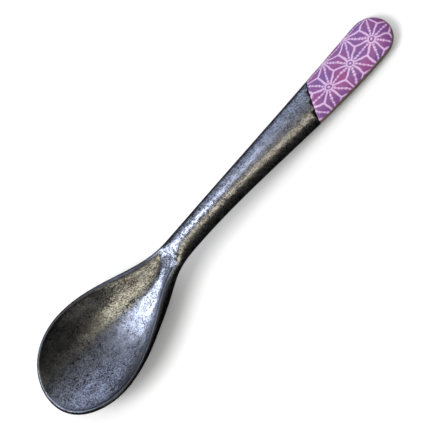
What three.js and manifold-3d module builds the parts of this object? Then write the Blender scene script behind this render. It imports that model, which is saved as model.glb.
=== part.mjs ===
// Ceramic spoon: a stoneware body with a black crystal glaze, and a printed sleeve on the handle end.
// Millimetres. +X runs from the bowl to the handle end, +Y across, +Z up. It lies on the plane z = 0.

import * as THREE from 'three';
import { ParametricGeometry } from 'three/addons/geometries/ParametricGeometry.js';
import { mergeVertices } from 'three/addons/utils/BufferGeometryUtils.js';
import Module from 'manifold-3d';

const wasm = await Module();
wasm.setup();

// Clay body, seen from above
const BOWL_FRONT = 17.6; // bowl tip to the bowl's widest place
const BOWL_BACK = 40.5; // widest place to the narrowest place of the neck
const HANDLE_RUN = 75; // narrowest place to where the handle end starts to round
const END_ROUND = 6.4; // length of the rounded end
const BOWL_WIDTH = 29.6;
const NECK_WIDTH = 6.7;
const END_WIDTH = 12.2;
const SHOULDER_POWER = 2.6; // how quickly the bowl draws in to the neck

// Clay body, seen from the side
const HOLLOW_SHIFT = 14.5; // widest place back to the hollow's deepest place
const HOLLOW_BACK = 22; // deepest place to where the hollow runs out in the neck
const BOWL_DEPTH = 10.2; // rim to floor, on the middle of the wall
const HOLLOW_POWER = 1.8; // how late the hollow's floor climbs to the neck
const SIDE_POWER = 3; // how late the side walls climb from the floor to the rim
const TIP_POWER = 2.2; // and how late the floor climbs to the tip
const BOWL_FLOOR = 2.2; // thickness under the deepest place
const BOWL_RIM = 0.6; // thickness at the rim
const NECK_THICKNESS = 5.2;
const END_THICKNESS = 5.2;
const CREST_BACK = 22.5; // deepest place to the top of the arch
const CREST_HEIGHT = 11.4; // middle of the neck above the table
const RIM_SLOPE = 0.01; // rise of the rim per millimetre beside the deepest place
const TIP_DROP = 3.2; // rim at the tip, below the rim beside the deepest place
const FOOT_GRIND = 0.4; // ground off below the bowl to make the flat foot

// Coats on the clay
const LAYER_GAP = 0.05; // keeps each coat clear of what it lies on
const GLAZE_COAT = 0.4;
const GROUND_COAT = 0.2; // pale glaze under the print
const PRINT_FILM = 0.15;
const GLAZE_LINE = 0.3; // height above the table where the glaze is wiped off round the foot
const PRINT_LENGTH = 30.2; // handle end to the print's edge, on the centre line
const PRINT_SLANT = 30; // degrees that the print's edge leans from square
const PRINT_JOINT = 0.1; // gap between the black glaze and the printed sleeve
const END_FLAT = 0.02; // rubbed off the print where the handle end rests

// Facets
const TIP_STEPS = 9; // bowl tip to widest place
const BOWL_STEPS = 14; // widest place to neck
const HANDLE_STEPS = 12; // neck to rounded end
const END_STEPS = 6; // quarter of the rounded end
const WALL_STEPS = 7; // middle to rim
const RIM_STEPS = 6; // over the rim
const WELD = 1e-4; // points closer than this are one

const BOWL_X = BOWL_FRONT;
const HOLLOW_X = BOWL_X + HOLLOW_SHIFT;
const NECK_X = BOWL_X + BOWL_BACK;
const END_X = NECK_X + HANDLE_RUN;
const CLAY_LENGTH = END_X + END_ROUND;
const CREST_X = HOLLOW_X + CREST_BACK;
const PRINT_STACK = 2 * LAYER_GAP + GROUND_COAT + PRINT_FILM;
const GLAZE_STACK = LAYER_GAP + GLAZE_COAT;
const RIM_HEIGHT = BOWL_DEPTH + BOWL_FLOOR / 2 - FOOT_GRIND;
const END_HEIGHT = END_THICKNESS / 2 + PRINT_STACK - END_FLAT;
const CENTRE_X = (CLAY_LENGTH + PRINT_STACK - GLAZE_STACK) / 2;
const PRINT_X = CLAY_LENGTH + PRINT_STACK - PRINT_LENGTH;
const CUTTER = 4 * CLAY_LENGTH; // a block larger than the spoon
const SIDE_STEPS = TIP_STEPS + BOWL_STEPS + HANDLE_STEPS + END_STEPS;
const ROUND_STEPS = 2 * WALL_STEPS + RIM_STEPS;

const { clamp, lerp, smoothstep, degToRad } = THREE.MathUtils;

// Half-width of the clay at a place on its length
function halfWidth(x) {
  if (x >= NECK_X) return lerp(NECK_WIDTH, END_WIDTH, smoothstep(x, NECK_X, END_X)) / 2;
  const u = (x - BOWL_X) / BOWL_BACK;
  return lerp(NECK_WIDTH, BOWL_WIDTH, (1 - u * u) ** SHOULDER_POWER) / 2;
}

// Height of the rim, and of the middle of the neck and handle
function midHeight(x) {
  const d = x - HOLLOW_X;
  if (d < 0) {
    const bend = TIP_DROP - RIM_SLOPE * HOLLOW_X;
    return RIM_HEIGHT + RIM_SLOPE * d - bend * (d / HOLLOW_X) ** 6;
  }
  if (x > CREST_X) return lerp(CREST_HEIGHT, END_HEIGHT, smoothstep(x, CREST_X, END_X));
  const u = d / CREST_BACK;
  return lerp(RIM_HEIGHT, CREST_HEIGHT, smoothstep(u, 0, 1)) + RIM_SLOPE * d * (1 - u) ** 2;
}

// Depth of the hollow on the centre line
function hollowDepth(x) {
  const u = clamp((x - HOLLOW_X) / HOLLOW_BACK, 0, 1);
  return BOWL_DEPTH * (1 - u ** 3) ** HOLLOW_POWER;
}

// Thickness of the clay on its length, from what it is in the bowl to the handle's
function thickness(x, inBowl) {
  if (x < NECK_X) return lerp(inBowl, NECK_THICKNESS, smoothstep(x, HOLLOW_X, NECK_X));
  return lerp(NECK_THICKNESS, END_THICKNESS, smoothstep(x, NECK_X, END_X));
}

// Outline of one side, counted in steps from the bowl tip to the handle end
function outline(k) {
  const neckStep = TIP_STEPS + BOWL_STEPS;
  const endStep = neckStep + HANDLE_STEPS;
  if (k < TIP_STEPS) {
    const angle = ((Math.PI / 2) * k) / TIP_STEPS;
    return [BOWL_X - BOWL_FRONT * Math.cos(angle), (BOWL_WIDTH / 2) * Math.sin(angle)];
  }
  if (k > endStep) {
    const angle = ((Math.PI / 2) * (SIDE_STEPS - k)) / END_STEPS;
    return [END_X + END_ROUND * Math.cos(angle), (END_WIDTH / 2) * Math.sin(angle)];
  }
  const onBowl = BOWL_X + (BOWL_BACK * (k - TIP_STEPS)) / BOWL_STEPS;
  const onHandle = NECK_X + (HANDLE_RUN * (k - neckStep)) / HANDLE_STEPS;
  const x = k < neckStep ? onBowl : onHandle;
  return [x, halfWidth(x)];
}

// Ray from the centre line to a step of the outline. The rays fan out from the hollow's deepest place
// and round the handle end, and lie square to the length between them.
function sideRay(k) {
  const [edgeX, edgeY] = outline(k);
  const x = clamp(edgeX, HOLLOW_X, END_X);
  return { x, angle: Math.atan2(edgeY, edgeX - x), reach: Math.hypot(edgeY, edgeX - x) };
}

// Bowl section on a ray: a wall that climbs ever steeper and thins to a round rim
function wallPoint(step, reach, power, depth, floor, rim) {
  const span = reach - rim / 2;
  const k = Math.min(step, WALL_STEPS, ROUND_STEPS - step);
  const onWall = step <= WALL_STEPS || step >= ROUND_STEPS - WALL_STEPS;
  const s = onWall ? (span * k) / WALL_STEPS : span;
  const half = lerp(floor, rim, (s / span) ** 2) / 2;
  const lean = Math.atan((power * depth * (s / span) ** (power - 1)) / span);
  const overRim = clamp((step - WALL_STEPS) / RIM_STEPS, 0, 1);
  const turn = lean + (Math.PI / 2) * (1 - 2 * overRim);
  return [s + half * Math.cos(turn), half * Math.sin(turn) - depth * (1 - (s / span) ** power)];
}

// Handle section on a ray: half an oval
function ovalPoint(step, reach, depth, thick) {
  const turn = Math.PI * (0.5 - step / ROUND_STEPS);
  return [reach * Math.cos(turn), (thick / 2) * Math.sin(turn) - depth * Math.sin(turn) ** 2];
}

// The clay's surface: u goes round the outline from the bowl tip and back to it,
// v from the top over the edge to the underside
function claySurface(u, v, target) {
  const loopStep = Math.round(u * 2 * SIDE_STEPS);
  const side = loopStep > SIDE_STEPS ? -1 : 1;
  const { x, angle, reach } = sideRay(Math.min(loopStep, 2 * SIDE_STEPS - loopStep));
  const step = Math.round(v * ROUND_STEPS);
  const floor = thickness(x, BOWL_FLOOR);
  const power = lerp(SIDE_POWER, TIP_POWER, Math.cos(angle) ** 2);
  const wall = wallPoint(step, reach, power, hollowDepth(x), floor, thickness(x, BOWL_RIM));
  const oval = ovalPoint(step, reach, hollowDepth(x), floor);
  const blend = smoothstep(x, HOLLOW_X, NECK_X);
  const s = lerp(wall[0], oval[0], blend);
  const along = x + s * Math.cos(angle);
  target.set(along, side * s * Math.sin(angle), midHeight(along) + lerp(wall[1], oval[1], blend));
}

// A welded copy of a geometry, positions only, without the collapsed triangles at the fans' centres
function weld(geometry) {
  const plain = geometry.clone();
  plain.deleteAttribute('normal');
  plain.deleteAttribute('uv');
  const welded = mergeVertices(plain, WELD);
  const kept = [];
  const { array } = welded.index;
  for (let i = 0; i < array.length; i += 3) {
    const [a, b, c] = [array[i], array[i + 1], array[i + 2]];
    if (a !== b && b !== c && c !== a) kept.push(a, b, c);
  }
  welded.setIndex(kept);
  return welded;
}

function solid(geometry) {
  const welded = weld(geometry);
  const vertProperties = new Float32Array(welded.attributes.position.array);
  const triVerts = new Uint32Array(welded.index.array);
  return new wasm.Manifold(new wasm.Mesh({ numProp: 3, vertProperties, triVerts }));
}

// The clay's outside moved out square to itself by the height of what lies on it
function skin(height) {
  const surface = weld(new ParametricGeometry(claySurface, 2 * SIDE_STEPS, ROUND_STEPS));
  surface.computeVertexNormals();
  const { position, normal } = surface.attributes;
  const point = new THREE.Vector3();
  const out = new THREE.Vector3();
  for (let i = 0; i < position.count; i += 1) {
    point.fromBufferAttribute(position, i).addScaledVector(out.fromBufferAttribute(normal, i), height);
    position.setXYZ(i, point.x, point.y, point.z);
  }
  return solid(surface);
}

// All that lies below a height
function below(z) {
  return solid(new THREE.BoxGeometry(CUTTER, CUTTER, CUTTER).translate(0, 0, z - CUTTER / 2));
}

// All that lies past the slanted edge of the print, towards the handle end
function pastEdge(offset) {
  const block = new THREE.BoxGeometry(CUTTER, CUTTER, CUTTER).translate(CUTTER / 2 + offset, 0, 0);
  return solid(block.rotateZ(-degToRad(PRINT_SLANT)).translate(PRINT_X, 0, 0));
}

function piece(name, manifold, look) {
  const { vertProperties, triVerts } = manifold.getMesh();
  const geometry = new THREE.BufferGeometry();
  geometry.setAttribute('position', new THREE.BufferAttribute(vertProperties, 3));
  geometry.setIndex(new THREE.BufferAttribute(triVerts, 1));
  geometry.computeVertexNormals();
  const mesh = new THREE.Mesh(geometry, new THREE.MeshStandardMaterial(look));
  mesh.name = name;
  return mesh;
}

const table = below(0);
const sleeve = pastEdge(PRINT_JOINT / 2);

const clay = skin(0).subtract(table);

const glaze = skin(GLAZE_STACK)
  .subtract(skin(LAYER_GAP))
  .subtract(pastEdge(-PRINT_JOINT / 2))
  .subtract(below(GLAZE_LINE));

const ground = skin(LAYER_GAP + GROUND_COAT).subtract(skin(LAYER_GAP)).intersect(sleeve);

const print = skin(PRINT_STACK)
  .subtract(skin(PRINT_STACK - PRINT_FILM))
  .intersect(sleeve)
  .subtract(table);

const spoon = new THREE.Group();
spoon.add(piece('clay_body', clay, { color: 0xb49a80, roughness: 0.9, metalness: 0 }));
spoon.add(piece('black_glaze', glaze, { color: 0x1c1c1f, roughness: 0.28, metalness: 0 }));
spoon.add(piece('pale_ground', ground, { color: 0xe6d2ea, roughness: 0.4, metalness: 0 }));
spoon.add(piece('print_film', print, { color: 0x82509a, roughness: 0.35, metalness: 0 }));
spoon.position.x = -CENTRE_X;

export default spoon;
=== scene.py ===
# %% [markdown]
# # A glazed ceramic spoon
# The CAD model gives the spoon its size and its four layers: the clay body, the black glaze, the pale
# ground under the print, and the printed film. Blender gives them a smooth skin and their finishes.
# Everything is in metres, in the CAD model's own frame: the bowl points to -X, the printed end to +X,
# and the table is at Z = 0.

# %% Load the frame
import math

import bpy
import numpy as np
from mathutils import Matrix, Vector


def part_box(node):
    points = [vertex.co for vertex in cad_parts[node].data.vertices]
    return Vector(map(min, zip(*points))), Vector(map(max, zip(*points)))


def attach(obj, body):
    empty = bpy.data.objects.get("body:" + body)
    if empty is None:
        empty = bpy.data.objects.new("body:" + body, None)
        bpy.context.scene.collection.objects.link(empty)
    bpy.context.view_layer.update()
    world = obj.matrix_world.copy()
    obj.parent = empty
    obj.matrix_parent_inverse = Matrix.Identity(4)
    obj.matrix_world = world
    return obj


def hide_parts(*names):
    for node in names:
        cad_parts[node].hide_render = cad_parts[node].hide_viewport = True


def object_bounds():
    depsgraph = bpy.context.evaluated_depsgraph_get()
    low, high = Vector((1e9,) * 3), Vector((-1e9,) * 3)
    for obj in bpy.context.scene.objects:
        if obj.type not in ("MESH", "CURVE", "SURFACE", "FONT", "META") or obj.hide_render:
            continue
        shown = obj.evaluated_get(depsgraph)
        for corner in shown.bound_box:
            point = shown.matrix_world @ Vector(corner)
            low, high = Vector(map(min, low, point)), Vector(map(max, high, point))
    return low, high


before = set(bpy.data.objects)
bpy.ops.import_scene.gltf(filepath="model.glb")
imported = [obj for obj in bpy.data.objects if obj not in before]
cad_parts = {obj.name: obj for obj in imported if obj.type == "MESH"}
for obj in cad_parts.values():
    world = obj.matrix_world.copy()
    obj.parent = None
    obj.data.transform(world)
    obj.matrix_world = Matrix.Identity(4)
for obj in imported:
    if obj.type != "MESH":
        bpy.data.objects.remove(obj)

MM = 0.001
cad_low, cad_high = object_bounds()
print("CAD box in mm:", [round((h - l) / MM, 2) for l, h in zip(cad_low, cad_high)])

# %% [markdown]
# ## The camera
# The photograph was taken with a long lens, leaning over the spoon from the side at -Y, and the picture was
# then turned so that the spoon lies from the lower left to the upper right. The camera is aimed first and
# then rolled by the same angle.

# %% Place the camera
CAMERA_TILT = math.radians(25)
CAMERA_ROLL = math.radians(49.85)
CAMERA_DISTANCE = 0.6
PICTURE_SIDE = 423
PIXELS_PER_METRE = 3581
SENSOR = 36
AIM = (-1.32 * MM, 4.75 * MM)
CLIP_START = 0.01


def aim(thing, place, target):
    """Puts a camera or a light at a place and turns it towards a target, with +Y upwards."""
    thing.location = place
    thing.rotation_euler = (target - place).to_track_quat("-Z", "Y").to_euler()


bpy.ops.object.select_all(action="DESELECT")
bpy.ops.object.camera_add()
camera = bpy.context.object
target = Vector((*AIM, 0))
back = Vector((0, -math.sin(CAMERA_TILT), math.cos(CAMERA_TILT)))
aim(camera, target + back * CAMERA_DISTANCE, target)
camera.rotation_euler.rotate_axis("Z", -CAMERA_ROLL)
camera.data.sensor_width = SENSOR
camera.data.lens = SENSOR * PIXELS_PER_METRE * CAMERA_DISTANCE / PICTURE_SIDE
camera.data.clip_start = CLIP_START
bpy.context.scene.camera = camera
print("Lens:", round(camera.data.lens, 1), "mm")

# %% [markdown]
# ## The floor and the light
# The spoon lies on white paper under one soft light from beyond the bowl's tip, which gives the paper its
# white and the spoon its short grey shadow. A glossy black thing shows its surroundings more than its own
# colour, so more softboxes stand round it just to be mirrored: a cool window past the bowl's left edge, a
# warm wall and a warm ceiling on the camera's side, and two dim walls that the bowl's front half mirrors.
# Three small cards near the handle carry the bands along it. They have narrow beams, so that the bowl
# hardly sees them. The paper isn't mirrored, so the spoon's sides stay dark, as in the photograph.

# %% Colours and nodes
def linear(code):
    """A linear colour from an sRGB hex value."""
    channels = [int(code[i:i + 2], 16) / 255 for i in (1, 3, 5)]
    return [c / 12.92 if c <= 0.04045 else ((c + 0.055) / 1.055) ** 2.4 for c in channels] + [1]


def new_material(name):
    """A material with an empty node tree, and its tree."""
    material = bpy.data.materials.new(name)
    material.use_nodes = True
    material.node_tree.nodes.clear()
    return material, material.node_tree


def add(tree, kind, settings=None, **sockets):
    """Adds a node. settings are its properties; sockets are inputs, by name or as in_0, in_1, each given
    a value, or linked to an output or to a node's first output."""
    node = tree.nodes.new(kind)
    for key, value in (settings or {}).items():
        setattr(node, key, value)
    for key, value in sockets.items():
        socket = node.inputs[int(key[3:]) if key.startswith("in_") else key.replace("_", " ")]
        if isinstance(value, bpy.types.Node):
            value = value.outputs[0]
        if isinstance(value, bpy.types.NodeSocket):
            tree.links.new(value, socket)
        else:
            socket.default_value = value
    return node


# %% Lay the white paper
FLOOR_SIDE = 3.0
FLOOR_DROP = 0.02 * MM

# Matt white paper, which the eye reads as a plain, almost shadowless ground.
bpy.ops.object.select_all(action="DESELECT")
bpy.ops.mesh.primitive_plane_add(size=FLOOR_SIDE, location=(0, 0, -FLOOR_DROP))
floor = bpy.context.object
floor.name = "floor"
paper, tree = new_material("white paper")
shader = add(tree, "ShaderNodeBsdfPrincipled", Base_Color=linear("#f4f4f4"), Roughness=0.9)
add(tree, "ShaderNodeOutputMaterial", Surface=shader)
floor.data.materials.append(paper)
floor.visible_glossy = False
print("Paper:", FLOOR_SIDE, "m square")

# %% Hang the lights
COOL_LIGHT = "#e6efff"
WARM_LIGHT = "#fdf2cd"
CARD_BEAMS = [math.radians(angle) for angle in (18, 18, 32)]


def softbox(name, place, width, height, radiance, colour, target=(0, 0, 0)):
    """A rectangular area light at a place in the frame, aimed at the spoon, that the camera can't see."""
    bpy.ops.object.light_add(type="AREA")
    light = bpy.context.object
    light.name = name
    aim(light, Vector(place), Vector(target))
    light.data.shape = "RECTANGLE"
    light.data.size = width
    light.data.size_y = height
    light.data.energy = radiance * math.pi * width * height
    light.data.color = linear(colour)[:3]
    light.visible_camera = False
    return light


key = softbox("key", (-0.55, -0.06, 0.8), 0.42, 0.42, 10.7, "#ffffff")
key.visible_glossy = False
mirrored = [
    softbox("window", (-0.4, 0.43, 0.7), 0.72, 0.75, 8.5, COOL_LIGHT),
    softbox("warm wall", (-0.43, -0.54, 0.58), 0.4, 0.4, 4.0, WARM_LIGHT),
    softbox("warm ceiling", (-0.14, -0.29, 0.85), 0.32, 0.58, 3.5, WARM_LIGHT),
    softbox("far wall", (0.32, 0.75, 0.36), 0.6, 0.6, 1.85, "#d5e0fa"),
    softbox("high wall", (0.4, 0.38, 0.75), 0.5, 0.5, 0.68, "#dfe4ee"),
]
cards = [
    softbox("neck card", (0.0, 0.078, 0.14), 0.034, 0.1, 0.11, COOL_LIGHT, (-0.005, 0, 0.008)),
    softbox("cool card", (0.03, 0.078, 0.14), 0.05, 0.1, 0.28, COOL_LIGHT, (0.008, 0, 0.008)),
    softbox("warm card", (0.069, -0.034, 0.15), 0.084, 0.1, 0.22, "#fbeccb", (0.035, 0, 0.008)),
]
for card, beam in zip(cards, CARD_BEAMS):
    card.data.spread = beam
for light in mirrored + cards:
    light.visible_diffuse = False
print("Lights:", ", ".join(light.name for light in [key] + mirrored + cards))

# %% Fill the room
ROOM_STRENGTH = 0.85

world = bpy.data.worlds.new("room")
bpy.context.scene.world = world
world.use_nodes = True
background = world.node_tree.nodes["Background"]
background.inputs["Color"].default_value = linear("#ffffff")
background.inputs["Strength"].default_value = ROOM_STRENGTH
world.cycles_visibility.glossy = False
bpy.context.scene.view_settings.view_transform = "Standard"
print("Room light:", ROOM_STRENGTH)

# %% [markdown]
# ## One smooth skin
# The spoon's outside is one flowing surface under all its glazes. A copy of the CAD clay body is welded,
# its triangles are joined to four-sided faces, and it is pushed out by the thickness of the glaze. The
# Subdivision Surface modifier then rounds the facets off. The ground foot under the bowl is cut away first,
# so that its sharp edge doesn't dent the smooth skin. The handle's end just touches the table, so its
# lowest points are set down level with it.

# %% Weld and push out
COAT = 0.45 * MM
WELD = 0.004 * MM
FOOT_CUT = 0.12 * MM
TABLE_GAP = 0.02 * MM


def edit(piece):
    """Makes one object the only one selected, and opens it in edit mode with everything selected."""
    bpy.ops.object.select_all(action="DESELECT")
    piece.select_set(True)
    bpy.context.view_layer.objects.active = piece
    bpy.ops.object.mode_set(mode="EDIT")
    bpy.ops.mesh.select_mode(type="FACE")
    bpy.ops.mesh.select_all(action="SELECT")


def done():
    """Closes edit mode."""
    bpy.ops.object.mode_set(mode="OBJECT")


def copy_of(node, name):
    """A new object with its own copy of a CAD node's mesh, welded."""
    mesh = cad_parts[node].data.copy()
    mesh.materials.clear()
    piece = bpy.data.objects.new(name, mesh)
    bpy.context.collection.objects.link(piece)
    edit(piece)
    bpy.ops.mesh.remove_doubles(threshold=WELD)
    done()
    return piece


def cut(piece, point, normal, keep_past=None):
    """Cuts the piece at a plane and drops the side that the normal points away from. Faces past this x
    are left as they are."""
    edit(piece)
    if keep_past is not None:
        bpy.ops.mesh.select_all(action="DESELECT")
        done()
        chosen = [face.center.x < keep_past for face in piece.data.polygons]
        piece.data.polygons.foreach_set("select", chosen)
        bpy.ops.object.mode_set(mode="EDIT")
    bpy.ops.mesh.bisect(plane_co=point, plane_no=normal, clear_inner=True)
    done()


def apply(piece, kind, **settings):
    """Adds a modifier with these settings and applies it."""
    bpy.ops.object.select_all(action="DESELECT")
    piece.select_set(True)
    bpy.context.view_layer.objects.active = piece
    modifier = piece.modifiers.new(kind.title(), kind)
    for key, value in settings.items():
        setattr(modifier, key, value)
    bpy.ops.object.modifier_apply(modifier=modifier.name)


def points(piece):
    """The mesh's vertices as rows of x, y, z."""
    flat = np.empty(len(piece.data.vertices) * 3)
    piece.data.vertices.foreach_get("co", flat)
    return flat.reshape(-1, 3)


skin = copy_of("clay_body", "skin")
edit(skin)
bpy.ops.transform.shrink_fatten(value=COAT)
done()
cut(skin, (0, 0, FOOT_CUT), (0, 0, 1), keep_past=0)
print("Skin:", len(skin.data.polygons), "faces")

# %% Join triangles and smooth
JOIN_BEND = math.radians(60)
JOIN_SHAPE = math.radians(180)

edit(skin)
bpy.ops.mesh.tris_convert_to_quads(face_threshold=JOIN_BEND, shape_threshold=JOIN_SHAPE)
done()
corners = [face.loop_total for face in skin.data.polygons]
print("Faces with four corners:", corners.count(4), "of", len(corners))
apply(skin, "SUBSURF", levels=2, render_levels=2)
skin_points = points(skin)
skin_points[:, 2] = np.maximum(skin_points[:, 2], TABLE_GAP)
skin.data.vertices.foreach_set("co", skin_points.ravel())
skin.data.update()
print("Smooth skin:", len(skin.data.polygons), "faces")

# %% [markdown]
# ## Where the print lies
# The printed sheet was flat before it was wrapped round the end of the handle, so its pattern follows the
# surface. Each point of the skin is given its distance along the handle and its distance round the oval
# from the ridge on top. Past the centre of the rounded end, the distance runs outwards from that centre
# instead. Smart projections would split the pattern into patches; working the place out keeps it whole,
# with one seam underneath.

# %% Measure the handle's oval
END_ROUND = 6.85 * MM
FIRST_STATION = 28 * MM
STATIONS = 15
STATION_REACH = 2.0 * MM

end_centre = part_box("print_film")[1][0] - END_ROUND
stations = np.linspace(FIRST_STATION, end_centre, STATIONS)
slices = [skin_points[abs(skin_points[:, 0] - x) < STATION_REACH] for x in stations]
oval_width = np.array([abs(part[:, 1]).max() for part in slices])
oval_top = np.array([part[:, 2].max() for part in slices])
oval_bottom = np.array([part[:, 2].min() for part in slices])
oval_height = oval_top - oval_bottom
print("Oval at the end, mm:", round(oval_width[-1] * 2 / MM, 2), "by", round(oval_height[-1] / MM, 2))

# %% Unroll the surface
ARC_STEPS = 48


def unrolled(place):
    """For rows of x, y, z: distance along the handle, distance round it from the top ridge, and the angle
    turned from that ridge."""
    x, y, z = place.T
    width = np.interp(x, stations, oval_width)
    middle = np.interp(x, stations, (oval_top + oval_bottom) / 2)
    half = np.interp(x, stations, oval_height / 2)
    past = np.maximum(x - end_centre, 0)
    reach = np.maximum(np.hypot(past, y), 1e-9)
    share = np.hypot(past / END_ROUND, y / width)
    radius = reach / np.maximum(share, 1e-9)
    turn = np.arctan2(share, (z - middle) / half)
    steps = turn[:, None] * (np.arange(ARC_STEPS) + 0.5) / ARC_STEPS
    speed = np.hypot(radius[:, None] * np.cos(steps), half[:, None] * np.sin(steps))
    arc = speed.mean(axis=1) * turn
    return np.minimum(x, end_centre) + arc * past / reach, arc * y / reach, np.degrees(turn)


# %% [markdown]
# ## Two coats from the skin
# The black glaze was poured over the bowl and most of the handle, and the printed sheet was wrapped round
# the end. They meet at a slanted line. The skin is copied and cut at that plane, once for each side, and
# each half gets a wall. The glaze also stops a little above the foot.

# %% Cut the coats
GLAZE_LINE = 0.3 * MM
SLANT = math.radians(30)
JOINT_AT = 40.0 * MM
COAT_WALL = 0.3 * MM

slant_normal = Vector((math.cos(SLANT), -math.sin(SLANT), 0))
joint_point = Vector((JOINT_AT, 0, 0))


def finish_piece(piece, node):
    """Shades the piece smooth and ties it to the CAD model."""
    edit(piece)
    bpy.ops.mesh.faces_shade_smooth()
    done()
    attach(piece, "root")
    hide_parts(node)
    print(piece.name, len(piece.data.polygons), "faces")


def copied(piece, name):
    """A second object with its own copy of a piece's mesh."""
    twin = bpy.data.objects.new(name, piece.data.copy())
    bpy.context.collection.objects.link(twin)
    return twin


glaze = copied(skin, "crystal_glaze_coat")
cut(glaze, joint_point, -slant_normal)
cut(glaze, (0, 0, GLAZE_LINE), (0, 0, 1), keep_past=0)
sleeve = copied(skin, "printed_sleeve")
cut(sleeve, joint_point, slant_normal)
bpy.data.objects.remove(skin)
for piece in (glaze, sleeve):
    apply(piece, "SOLIDIFY", thickness=COAT_WALL, offset=-1)
finish_piece(glaze, "black_glaze")
finish_piece(sleeve, "print_film")

# %% [markdown]
# ## The print's UV map
# The UV map holds the print's own millimetres. The sheet sits a little off the ridge, and it was pulled
# slightly askew as it was smoothed down, which bends its rows. A second value on each point keeps the angle
# turned from the ridge, which tells where the sheet's edges lie.

# %% Write the UV map
STAR_PITCH = 8.9
ROW_PITCH = 6.9
FIRST_STAR = 45.7
ROW_SIDE = -1.45
SKEW = -0.03
PULL_REACH = 7.5

along, across, turned = unrolled(points(sleeve))
sleeve.data.attributes.new("turned", "FLOAT", "POINT").data.foreach_set("value", turned)
across = across / MM - ROW_SIDE
pulled = np.clip(across, -PULL_REACH, PULL_REACH)
along = along / MM - FIRST_STAR - SKEW * pulled
across = across * STAR_PITCH * math.sqrt(0.75) / ROW_PITCH
print_map = sleeve.data.uv_layers.new(name="print_place")
corner_points = np.empty(len(sleeve.data.loops), dtype=np.int32)
sleeve.data.loops.foreach_get("vertex_index", corner_points)
print_map.data.foreach_set("uv", np.column_stack([along, across])[corner_points].ravel())
print("Print map, mm:", np.round([along.min(), along.max(), across.min(), across.max()], 1))

# %% [markdown]
# ## The bowl's rim
# The rim is painted darker than the hollow: a painted shade that dims the lamps' highlight on it. Each point
# of the glaze gets a number, one on the crest of the rim and nothing a little below it.

# %% Mark the rim
RIM_DROP = 1.1 * MM
RIM_FADE = (-24 * MM, -14 * MM)
RIM_STEPS = 60
RIM_REACH = 1 * MM

glaze_points = points(glaze)
rim_x = np.linspace(cad_low[0] + RIM_REACH / 2, RIM_FADE[1], RIM_STEPS)
rim_z = [glaze_points[abs(glaze_points[:, 0] - x) < RIM_REACH][:, 2].max() for x in rim_x]
below_rim = np.interp(glaze_points[:, 0], rim_x, rim_z) - glaze_points[:, 2]
rim = np.clip(1 - below_rim / RIM_DROP, 0, 1)
rim = rim * np.clip((RIM_FADE[1] - glaze_points[:, 0]) / (RIM_FADE[1] - RIM_FADE[0]), 0, 1)
glaze.data.attributes.new("rim", "FLOAT", "POINT").data.foreach_set("value", rim)
print("Points on the rim:", int((rim > 0.5).sum()))

# %% [markdown]
# ## Crystal glaze
# An iron-rich black stoneware glaze, cooled slowly so that tiny silvery crystals grew in its skin. The eye
# sees black glass under a fine, blue-grey metallic grain that lights up wherever a lamp is mirrored.
# Voronoi cells give each crystal its own brightness and its own slight lean, and a wider noise crowds and
# thins them out. Real crystals are finer than the picture can show, so they are drawn as coarse as they need
# to be seen. The rim is painted a darker black, a painted shade that dims its highlight.

# %% Grow the crystals
CRYSTAL_SIZE = 0.28 * MM
CRYSTAL_TILT = 0.15
PATCH_SIZE = 3 * MM
CROWDING = 0.3
BLACK_GLASS = "#2f2f32"
SILVER = "#92949d"
# Painted shade: the darker black that the rim's crest is painted, so that its highlight is dimmed.
RIM_SHADE = "#26272b"

NOISE_LOW = 0.3
NOISE_HIGH = 0.7
MATH = "ShaderNodeMath"
VECTOR = "ShaderNodeVectorMath"
RANGE = "ShaderNodeMapRange"
MIX = "ShaderNodeMix"

crystal_glaze, tree = new_material("black crystal glaze")
place = add(tree, "ShaderNodeTexCoord").outputs["Object"]
crystals = add(tree, "ShaderNodeTexVoronoi", Vector=place, Scale=1 / CRYSTAL_SIZE).outputs["Color"]
tone = add(tree, "ShaderNodeSeparateColor", Color=crystals)
patches = add(tree, "ShaderNodeTexNoise", Vector=place, Scale=1 / PATCH_SIZE, Detail=4.0, Roughness=0.8)
crowding = add(tree, RANGE, Value=patches, From_Min=NOISE_LOW, From_Max=NOISE_HIGH,
               To_Min=-CROWDING, To_Max=CROWDING)
silver = add(tree, MATH, {"operation": "ADD"}, in_0=tone, in_1=crowding)
grain = add(tree, MIX, {"data_type": "RGBA"}, in_0=silver, in_6=linear(BLACK_GLASS), in_7=linear(SILVER))
edge = add(tree, "ShaderNodeAttribute", {"attribute_name": "rim"}).outputs["Fac"]
# Painted shade: where the rim number is one, the crystal grain gives way to a darker black.
colour = add(tree, MIX, {"data_type": "RGBA"}, in_0=edge, in_6=grain.outputs[2], in_7=linear(RIM_SHADE))
spread = add(tree, VECTOR, {"operation": "SUBTRACT"}, in_0=crystals, in_1=(0.5, 0.5, 0.5))
lean = add(tree, VECTOR, {"operation": "SCALE"}, in_0=spread, Scale=CRYSTAL_TILT)
print("Crystals of", round(CRYSTAL_SIZE / MM, 2), "mm")

# %% [markdown]
# ### Where the glaze pooled
# Glaze runs down a steep wall and gathers, so its skin lies flatter than the clay at the back of the hollow
# and along the wall that faces the window. The surface normal is pulled upright there. A thicker mesh would
# do it too, but it would no longer fit the CAD model.

# %% Level the pooled glaze
POOL_START = (-46 * MM, -30 * MM)
POOL_END = (-14.5 * MM, -26 * MM)
POOL_LIFT = 0.7
WALL_LIFT = 0.8
WALL_LEAN = (0.3, 0.6)
UPWARD = (0.1, 0.3)

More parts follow.
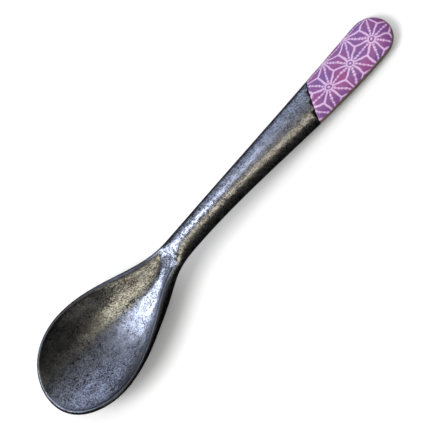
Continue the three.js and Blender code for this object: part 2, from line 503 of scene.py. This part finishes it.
smooth = add(tree, "ShaderNodeNewGeometry").outputs["Normal"]
along = add(tree, "ShaderNodeSeparateXYZ", in_0=place).outputs[0]
facing = add(tree, "ShaderNodeSeparateXYZ", in_0=smooth)
back = add(tree, RANGE, {"interpolation_type": "SMOOTHSTEP"}, Value=along,
           From_Min=POOL_START[0], From_Max=POOL_START[1], To_Max=POOL_LIFT)
front = add(tree, RANGE, {"interpolation_type": "SMOOTHSTEP"}, Value=along,
            From_Min=POOL_END[0], From_Max=POOL_END[1])
wall = add(tree, RANGE, Value=facing.outputs[1], From_Min=WALL_LEAN[0], From_Max=WALL_LEAN[1],
           To_Max=WALL_LIFT)
upwards = add(tree, RANGE, Value=facing.outputs[2], From_Min=UPWARD[0], From_Max=UPWARD[1])
pool = add(tree, MATH, {"operation": "MAXIMUM"}, in_0=back, in_1=wall)
pool = add(tree, MATH, {"operation": "MULTIPLY"}, in_0=pool, in_1=front)
pool = add(tree, MATH, {"operation": "MULTIPLY"}, in_0=pool, in_1=upwards)
lift = add(tree, "ShaderNodeCombineXYZ", Z=pool)
levelled = add(tree, VECTOR, {"operation": "ADD"}, in_0=smooth, in_1=lift)
leaning = add(tree, VECTOR, {"operation": "ADD"}, in_0=levelled, in_1=lean)
facet = add(tree, VECTOR, {"operation": "NORMALIZE"}, in_0=leaning)
shader = add(tree, "ShaderNodeBsdfPrincipled", Base_Color=colour.outputs[2], Metallic=0.97, Roughness=0.3,
             Normal=facet)
add(tree, "ShaderNodeOutputMaterial", Surface=shader)
glaze.data.materials.append(crystal_glaze)
print("Glaze pooled from x =", round(POOL_START[0] / MM), "mm")

# %% [markdown]
# ## Printed glaze
# The end carries an old pattern of hemp leaves: a net of stars whose twelve rays meet in threes. It was
# printed in violet on a pale ground and fired under a thin clear glaze. Inside each star's six-sided cell
# the lines are just twelve rays, so the nodes find the nearest star and measure distance and angle from it.
# A soft noise moves each point by a fraction of a millimetre first, so the lines wander as hand-cut ones do.
# The sheet covers the top and stops in a slightly wavy line at the sides. The black glaze shows beyond it,
# brown where it is thin against the sheet.

# %% Find the nearest star
WANDER = 1.1
WANDER_SIZE = 2.6 * MM

printed_glaze, tree = new_material("printed violet glaze")
body_place = add(tree, "ShaderNodeTexCoord").outputs["Object"]
drift = add(tree, "ShaderNodeTexNoise", Vector=body_place, Scale=1 / WANDER_SIZE, Detail=1.0).outputs["Color"]
drift = add(tree, VECTOR, {"operation": "SUBTRACT"}, in_0=drift, in_1=(0.5, 0.5, 0.5))
flat = add(tree, "ShaderNodeUVMap", {"uv_map": "print_place"})
place = add(tree, VECTOR, {"operation": "MULTIPLY_ADD"}, in_0=drift, in_1=(WANDER, WANDER, 0), in_2=flat)
half_cell = (STAR_PITCH / 2, STAR_PITCH * math.sqrt(0.75), 1)
other_cell = tuple(-v for v in half_cell)

even = add(tree, VECTOR, {"operation": "WRAP"}, in_0=place, in_1=half_cell, in_2=other_cell)
moved = add(tree, VECTOR, {"operation": "ADD"}, in_0=place, in_1=half_cell)
odd = add(tree, VECTOR, {"operation": "WRAP"}, in_0=moved, in_1=half_cell, in_2=other_cell)
even_far = add(tree, VECTOR, {"operation": "LENGTH"}, in_0=even).outputs["Value"]
odd_far = add(tree, VECTOR, {"operation": "LENGTH"}, in_0=odd).outputs["Value"]
nearer = add(tree, MATH, {"operation": "LESS_THAN"}, in_0=odd_far, in_1=even_far)
star = add(tree, MIX, {"data_type": "VECTOR"}, in_0=nearer, in_4=even, in_5=odd).outputs[1]
far = add(tree, MATH, {"operation": "MINIMUM"}, in_0=even_far, in_1=odd_far)
print("Star cell, mm:", [round(2 * v, 2) for v in half_cell[:2]])

# %% [markdown]
# ### The rays
# Every second ray is a plain line and runs out to where three cells meet. The rays between them are strings
# of beads. A point belongs to the ray whose direction is nearest, so rounding its angle finds that ray.

# %% Draw the rays
RAY_TURN = math.pi / 6
RAY_HALF_WIDTH = 0.28
RAY_BLUR = 0.16
BEAD_PITCH = 0.95
BEAD_SWELL = 0.07
BEAD_TONE = 0.78
BEAD_CONTRAST = 0.22
LINE_TONE = 0.92

axes = add(tree, "ShaderNodeSeparateXYZ", in_0=star)
angle = add(tree, MATH, {"operation": "ARCTAN2"}, in_0=axes.outputs[1], in_1=axes.outputs[0])
turns = add(tree, MATH, {"operation": "DIVIDE"}, in_0=angle, in_1=RAY_TURN)
ray = add(tree, MATH, {"operation": "ROUND"}, in_0=turns)
aside = add(tree, MATH, {"operation": "SUBTRACT"}, in_0=turns, in_1=ray)
aside = add(tree, MATH, {"operation": "MULTIPLY"}, in_0=aside, in_1=RAY_TURN)
aside = add(tree, MATH, {"operation": "SINE"}, in_0=aside)
aside = add(tree, MATH, {"operation": "ABSOLUTE"}, in_0=aside)
off_ray = add(tree, MATH, {"operation": "MULTIPLY"}, in_0=far, in_1=aside)
leaf_ray = add(tree, MATH, {"operation": "PINGPONG"}, in_0=ray, in_1=1)
beads = add(tree, MATH, {"operation": "MULTIPLY"}, in_0=far, in_1=2 * math.pi / BEAD_PITCH)
beads = add(tree, MATH, {"operation": "COSINE"}, in_0=beads)
swollen = add(tree, MATH, {"operation": "MULTIPLY_ADD"}, in_0=beads, in_1=BEAD_SWELL, in_2=RAY_HALF_WIDTH)
width = add(tree, MIX, {"data_type": "FLOAT"}, in_0=leaf_ray, in_2=swollen, in_3=RAY_HALF_WIDTH)
edge = add(tree, MATH, {"operation": "SUBTRACT"}, in_0=off_ray, in_1=width)
rays = add(tree, RANGE, {"interpolation_type": "SMOOTHSTEP"}, Value=edge,
           From_Min=RAY_BLUR, From_Max=-RAY_BLUR)
bead_tone = add(tree, MATH, {"operation": "MULTIPLY_ADD"}, in_0=beads, in_1=BEAD_CONTRAST, in_2=BEAD_TONE)
ray_tone = add(tree, MIX, {"data_type": "FLOAT"}, in_0=leaf_ray, in_2=bead_tone, in_3=LINE_TONE)
rays = add(tree, MATH, {"operation": "MULTIPLY"}, in_0=rays, in_1=ray_tone)
print("Rays", 2 * RAY_HALF_WIDTH, "mm wide")

# %% [markdown]
# ### The star's eye
# A dot in a ring sits at each star's centre. It needs only the distance from there: the ring is a disc with
# a smaller disc taken out, and the dot is put back in.

# %% Draw the star's eye
DOT_RADIUS = 0.4
HOLE_RADIUS = 0.84
RING_RADIUS = 1.29
EYE_BLUR = 0.14
DOT_TONE = 0.9
RING_TONE = 0.85

dot, hole, disc = [
    add(tree, RANGE, {"interpolation_type": "SMOOTHSTEP"}, Value=far,
        From_Min=radius + EYE_BLUR, From_Max=radius - EYE_BLUR, To_Max=strength)
    for radius, strength in ((DOT_RADIUS, DOT_TONE), (HOLE_RADIUS, 1.0), (RING_RADIUS, RING_TONE))
]
drawn = add(tree, MATH, {"operation": "MAXIMUM"}, in_0=rays, in_1=disc)
drawn = add(tree, MATH, {"operation": "SUBTRACT", "use_clamp": True}, in_0=drawn, in_1=hole)
drawn = add(tree, MATH, {"operation": "MAXIMUM"}, in_0=drawn, in_1=dot)
print("Eye", 2 * RING_RADIUS, "mm across")

# %% [markdown]
# ### The print's colours
# The violet drifts towards magenta in soft clouds, as hand-laid colour does, with a fine crepe grain. The
# lines stand a hair above it under the clear glaze, which gives the eye a soft satin sheen.

# %% Colour the print
CREPE_SIZE = 0.35 * MM
CREPE_RISE = 0.3
CREPE_TONE = 0.2
LINE_RISE = 0.04 * MM
CLOUD_SIZE = 6 * MM
SHEET_EDGE = 74
EDGE_BLUR = 4
EDGE_WAVE = 18
BROWN_RIM = 20
WAVE_SIZE = 2.5 * MM
VIOLET = "#6a4285"
MAGENTA = "#873b79"
PALE_LINE = "#cdacd2"
THIN_BROWN = "#5d4a45"
IRON_BLACK = "#2b2828"

clouds = add(tree, "ShaderNodeTexNoise", Vector=body_place, Scale=1 / CLOUD_SIZE, Detail=2.0)
crepe = add(tree, "ShaderNodeTexNoise", Vector=body_place, Scale=1 / CREPE_SIZE, Detail=2.0)
violet = add(tree, "ShaderNodeValToRGB", Fac=clouds)
violet.color_ramp.elements[0].position = 0.38
violet.color_ramp.elements[0].color = linear(VIOLET)
violet.color_ramp.elements[1].position = 0.72
violet.color_ramp.elements[1].color = linear(MAGENTA)
grain = add(tree, RANGE, Value=crepe, From_Min=NOISE_LOW, From_Max=NOISE_HIGH,
            To_Min=1 - CREPE_TONE, To_Max=1 + CREPE_TONE)
field = add(tree, MIX, {"data_type": "RGBA", "blend_type": "MULTIPLY"}, in_0=1.0, in_6=violet, in_7=grain)
ink = add(tree, MIX, {"data_type": "RGBA"}, in_0=drawn, in_6=field.outputs[2], in_7=linear(PALE_LINE))
turned = add(tree, "ShaderNodeAttribute", {"attribute_name": "turned"}).outputs["Fac"]
wave = add(tree, "ShaderNodeTexNoise", Vector=body_place, Scale=1 / WAVE_SIZE, Detail=2.0)
wavy = add(tree, MATH, {"operation": "MULTIPLY_ADD"}, in_0=wave, in_1=EDGE_WAVE, in_2=turned)
bare_from = SHEET_EDGE + EDGE_WAVE / 2
bare = add(tree, RANGE, Value=wavy, From_Min=bare_from - EDGE_BLUR, From_Max=bare_from + EDGE_BLUR)
under = add(tree, RANGE, Value=wavy, From_Min=bare_from + BROWN_RIM, From_Max=bare_from + 2 * BROWN_RIM)
iron = add(tree, MIX, {"data_type": "RGBA"}, in_0=under, in_6=linear(THIN_BROWN), in_7=linear(IRON_BLACK))
finish = add(tree, MIX, {"data_type": "RGBA"}, in_0=bare, in_6=ink.outputs[2], in_7=iron.outputs[2])
height = add(tree, MATH, {"operation": "MULTIPLY_ADD"}, in_0=crepe, in_1=CREPE_RISE, in_2=drawn)
bump = add(tree, "ShaderNodeBump", Strength=0.3, Distance=LINE_RISE, Height=height)
shader = add(tree, "ShaderNodeBsdfPrincipled", Base_Color=finish.outputs[2], Roughness=0.42, Normal=bump)
add(tree, "ShaderNodeOutputMaterial", Surface=shader)
sleeve.data.materials.append(printed_glaze)
print("Print coloured")

# %% [markdown]
# ## Stoneware and pale ground
# The bare clay shows only at the ground foot: a fine, warm grey body with darker specks, matt and a little
# rough to the eye. The pale ground is a milky glaze that lies under the print and is hidden by it.

# %% Make the hidden layers' materials
SPECK_SIZE = 0.5 * MM
CLAY_ROUGHNESS = 0.05 * MM
MOTTLE_SIZE = 2 * MM
DARK_SPECK = "#6f6353"
WARM_GREY = "#b3a692"
MILK = "#e8dcec"
MILK_SHADE = "#d9c8e0"

stoneware, tree = new_material("bare stoneware")
place = add(tree, "ShaderNodeTexCoord").outputs["Object"]
specks = add(tree, "ShaderNodeTexNoise", Vector=place, Scale=1 / SPECK_SIZE, Detail=5.0)
clay = add(tree, "ShaderNodeValToRGB", Fac=specks)
clay.color_ramp.elements[0].position = 0.36
clay.color_ramp.elements[0].color = linear(DARK_SPECK)
clay.color_ramp.elements[1].position = 0.46
clay.color_ramp.elements[1].color = linear(WARM_GREY)
bump = add(tree, "ShaderNodeBump", Strength=0.4, Distance=CLAY_ROUGHNESS, Height=specks)
shader = add(tree, "ShaderNodeBsdfPrincipled", Base_Color=clay, Roughness=0.85, Normal=bump)
add(tree, "ShaderNodeOutputMaterial", Surface=shader)

pale_ground, tree = new_material("pale ground glaze")
place = add(tree, "ShaderNodeTexCoord").outputs["Object"]
mottle = add(tree, "ShaderNodeTexNoise", Vector=place, Scale=1 / MOTTLE_SIZE, Detail=3.0)
cream = add(tree, MIX, {"data_type": "RGBA"}, in_0=mottle, in_6=linear(MILK), in_7=linear(MILK_SHADE))
shader = add(tree, "ShaderNodeBsdfPrincipled", Base_Color=cream.outputs[2], Roughness=0.35)
add(tree, "ShaderNodeOutputMaterial", Surface=shader)

for node, material in (("clay_body", stoneware), ("pale_ground", pale_ground)):
    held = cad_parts[node].data.materials
    held.clear()
    held.append(material)
    print(node, "wears", material.name)
